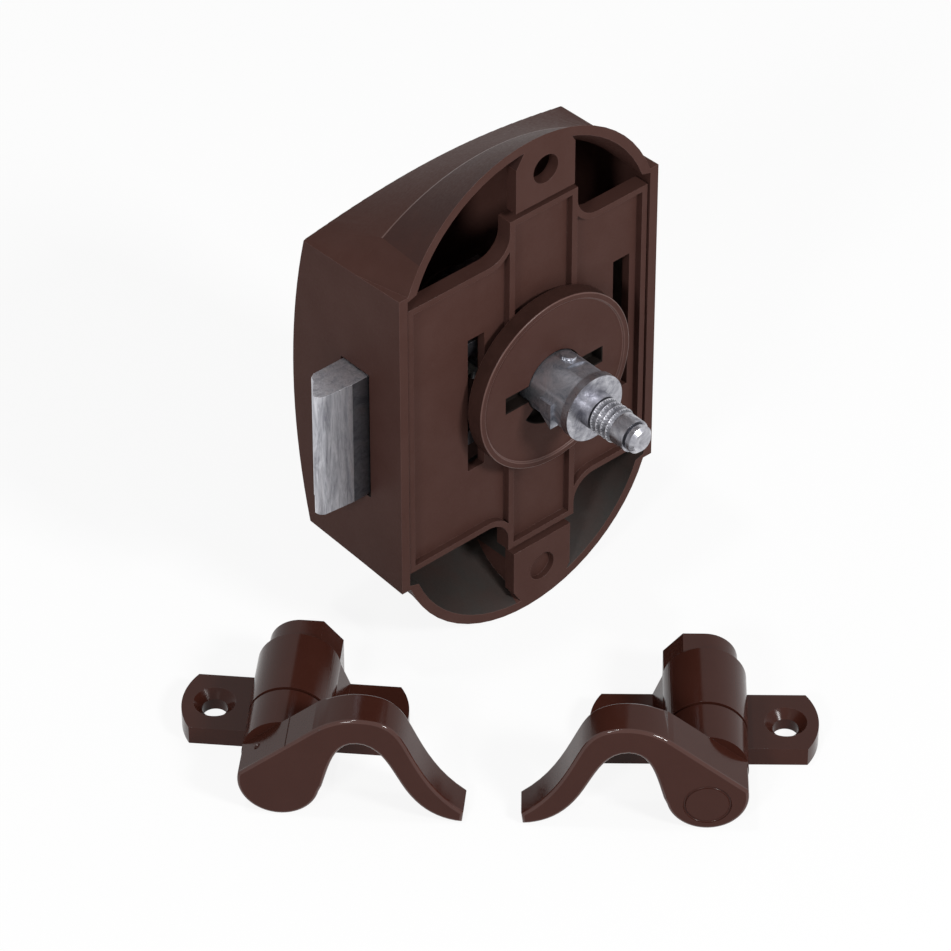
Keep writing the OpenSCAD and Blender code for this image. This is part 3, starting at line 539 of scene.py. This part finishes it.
# where each hook stands on the floor, its turn in degrees, and -1 if its arm reaches the other way
HOOKS = {"left": (-41.7, 2.6, -47.0, 1), "right": (-2.8, -35.4, -42.0, -1)}
AXIS_H = 5.5
LEVER_FRONT = -17.95
LEVER_MIDDLE = -15.05
LEVER_HALF_T = 2.9
LEVER_TIP_HALF_T = 2.35
LEVER_FACE_WITHIN = 0.04
LEVER_FLAT_OVER = 12 * MM * MM
LEVER_HUB_R = 5.4
ARM_FROM = LEVER_HUB_R + 0.5
ARM_REACH = 24.2
RAMP_TOP = AXIS_H + 5.6
RAMP_SLOPE = 0.826
RING_R = 3.0
RING_GROOVE_R = 0.2
RING_H = AXIS_H - 1.1
GATE_R = 0.55
GATE_X = -3.2
GATE_PLACE = (GATE_X, LEVER_MIDDLE + 0.6, RAMP_TOP + GATE_X * RAMP_SLOPE + 0.25)
INSERT_LINE_R = 0.11
INSERT_LINE_LENGTH = 8
INSERT_LINE_X = 1.0
INSERT_LINE_PLACE = (INSERT_LINE_X, LEVER_MIDDLE, RAMP_TOP + INSERT_LINE_X * RAMP_SLOPE + 0.03)
ALONG_PIVOT = math.radians(90)


def in_hook(side, spot):
    """A place in the shared frame, brought to a hook's own frame."""
    place_x, place_y, turn, way = HOOKS[side]
    from_foot = spot / MM - Vector((place_x, place_y, FLOOR_Z / MM))
    own = Matrix.Rotation(math.radians(-turn), 3, "Z") @ from_foot
    return Vector((way * own.x, own.y, own.z))


def on_hook(side, x, y, z):
    """A place in a hook's own frame, brought to the shared frame."""
    place_x, place_y, turn, way = HOOKS[side]
    spot = Matrix.Rotation(math.radians(turn), 3, "Z") @ Vector((way * x, y, z))
    return (spot + Vector((place_x, place_y, FLOOR_Z / MM))) * MM


def lever_half_t(x):
    """Half the thickness of a lever, which thins from the hub to the tip."""
    along = max(0.0, (x - LEVER_HUB_R) / (ARM_REACH - LEVER_HUB_R))
    return LEVER_HALF_T + along * (LEVER_TIP_HALF_T - LEVER_HALF_T)


def round_lever(lever, side):
    """Rounds the outline of the lever's front and of the arm's back."""
    def on_front(spot):
        own = in_hook(side, spot)
        return abs(own.y - LEVER_MIDDLE + lever_half_t(own.x)) < LEVER_FACE_WITHIN

    def on_back(spot):
        own = in_hook(side, spot)
        on_face = abs(own.y - LEVER_MIDDLE - lever_half_t(own.x)) < LEVER_FACE_WITHIN
        return own.x > ARM_FROM and on_face

    # the rounded outlines take the edge material, a painted highlight
    for outline in (on_front, on_back):
        bevel_chosen(lever, width=0.4 * MM, segments=4, sharper_than=60, wanted=outline)
    round_edges(lever, width=0.12 * MM, angle=40, flat_over=LEVER_FLAT_OVER)


def mould_ring(lever, side):
    """A round ejector mark sunk in the front of the hub."""
    turn = math.radians(HOOKS[side][2])
    bpy.ops.mesh.primitive_torus_add(
        major_segments=64, minor_segments=12, major_radius=RING_R * MM, minor_radius=RING_GROOVE_R * MM,
        location=on_hook(side, 0, LEVER_FRONT, RING_H), rotation=(ALONG_PIVOT, 0, turn))
    carve(lever, bpy.context.object)


def gate_mark(lever, side):
    """A small dimple on the ramp where the plastic went in, and the faint line of an insert beside it."""
    turn = math.radians(HOOKS[side][2])
    bpy.ops.mesh.primitive_uv_sphere_add(
        segments=24, ring_count=12, radius=GATE_R * MM, location=on_hook(side, *GATE_PLACE))
    carve(lever, bpy.context.object)
    bpy.ops.mesh.primitive_cylinder_add(
        vertices=12, radius=INSERT_LINE_R * MM, depth=INSERT_LINE_LENGTH * MM,
        location=on_hook(side, *INSERT_LINE_PLACE), rotation=(ALONG_PIVOT, 0, turn))
    carve(lever, bpy.context.object)


def make_hook(side):
    bracket = own_copy(side + "_hook_bracket", side + "_bracket", HOOK_PLASTIC, HOOK_GLOSS_HIGHLIGHT)
    round_edges(bracket, width=0.25 * MM, segments=3)
    fit(bracket, "case", "hook_plastic", side + "_hook_bracket")
    lever = own_copy(side + "_hook_lever", side + "_lever", HOOK_PLASTIC, HOOK_GLOSS_HIGHLIGHT)
    round_lever(lever, side)
    if side == "right":
        mould_ring(lever, side)
    else:
        gate_mark(lever, side)
    fit(lever, side + "_lever_group", "hook_plastic", side + "_hook_lever")


make_cover()
make_chassis()
make_disc()
make_spindle()
make_bolt()
make_hook("left")
make_hook("right")

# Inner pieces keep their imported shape
INNER_PIECES = (
    (WHITE_ACETAL, ("carriage",)),
    # the springs are painted dark as shade inside the case
    (SPRING_STEEL_SHADE, ("bolt_springs", "spindle_spring")),
    (DRAWN_STEEL, ("cross_pin", "retaining_clip", "latch_wire",
                   "left_hook_pivot", "left_hook_spring", "left_hook_ring",
                   "right_hook_pivot", "right_hook_spring", "right_hook_ring")),
)
for material, nodes in INNER_PIECES:
    for node in nodes:
        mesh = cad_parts[node].data
        mesh.materials.clear()
        mesh.materials.append(material)


# Floor, light and camera

def seen_straight(tree, path):
    """One where the camera sees a surface itself, mirrored or through glass."""
    mirrored = arithmetic(tree, "MAXIMUM", path.outputs["Is Camera Ray"], path.outputs["Is Glossy Ray"])
    return arithmetic(tree, "MAXIMUM", mirrored, path.outputs["Is Transmission Ray"])


def make_floor():
    bpy.ops.mesh.primitive_plane_add(size=FLOOR_SIZE, location=(0, 0, FLOOR_Z))
    floor = bpy.context.object
    floor.name = "floor"
    paper = bpy.data.materials.new("white paper")
    paper.use_nodes = True
    nodes, links = paper.node_tree.nodes, paper.node_tree.links
    nodes.clear()
    out = nodes.new("ShaderNodeOutputMaterial")
    path = nodes.new("ShaderNodeLightPath")
    dull = nodes.new("ShaderNodeBsdfDiffuse")
    dull.inputs["Color"].default_value = PAPER_WHITE
    glow = nodes.new("ShaderNodeEmission")
    glow.inputs["Color"].default_value = (1, 1, 1, 1)
    glow.inputs["Strength"].default_value = 1.0
    share = arithmetic(paper.node_tree, "MULTIPLY", seen_straight(paper.node_tree, path), PAPER_GLOW)
    mix = nodes.new("ShaderNodeMixShader")
    links.new(share, mix.inputs["Fac"])
    links.new(dull.outputs["BSDF"], mix.inputs[1])
    links.new(glow.outputs["Emission"], mix.inputs[2])
    links.new(mix.outputs["Shader"], out.inputs["Surface"])
    floor.data.materials.append(paper)


def make_world():
    world = bpy.data.worlds.new("studio")
    world.use_nodes = True
    nodes, links = world.node_tree.nodes, world.node_tree.links
    back = nodes["Background"]
    path = nodes.new("ShaderNodeLightPath")
    # plain white where the camera looks past the floor, soft grey as light
    seen = seen_straight(world.node_tree, path)
    strength = spread(world.node_tree, seen, low=0.0, high=1.0, to_low=WORLD_LIGHT, to_high=1.0)
    back.inputs["Color"].default_value = (1, 1, 1, 1)
    links.new(strength, back.inputs["Strength"])
    bpy.context.scene.world = world


def add_softbox(name, place, side, power):
    light = bpy.data.lights.new(name, "AREA")
    light.shape = "SQUARE"
    light.size = side
    light.energy = power
    lamp = bpy.data.objects.new(name, light)
    bpy.context.scene.collection.objects.link(lamp)
    lamp.location = place
    lamp.rotation_euler = (-Vector(place)).to_track_quat("-Z", "Y").to_euler()


def make_camera():
    lens = bpy.data.cameras.new("camera")
    lens.lens = CAMERA_LENS
    lens.sensor_width = CAMERA_SENSOR
    lens.clip_start, lens.clip_end = CAMERA_CLIP
    camera = bpy.data.objects.new("camera", lens)
    bpy.context.scene.collection.objects.link(camera)
    camera.location = CAMERA_PLACE
    camera.rotation_euler = (math.radians(CAMERA_PITCH), 0, math.radians(CAMERA_TURN))
    bpy.context.scene.camera = camera


make_camera()
make_floor()
make_world()
for name, (place, side, power) in SOFTBOXES.items():
    add_softbox(name, place, side, power)

bpy.context.scene.view_settings.view_transform = "Standard"
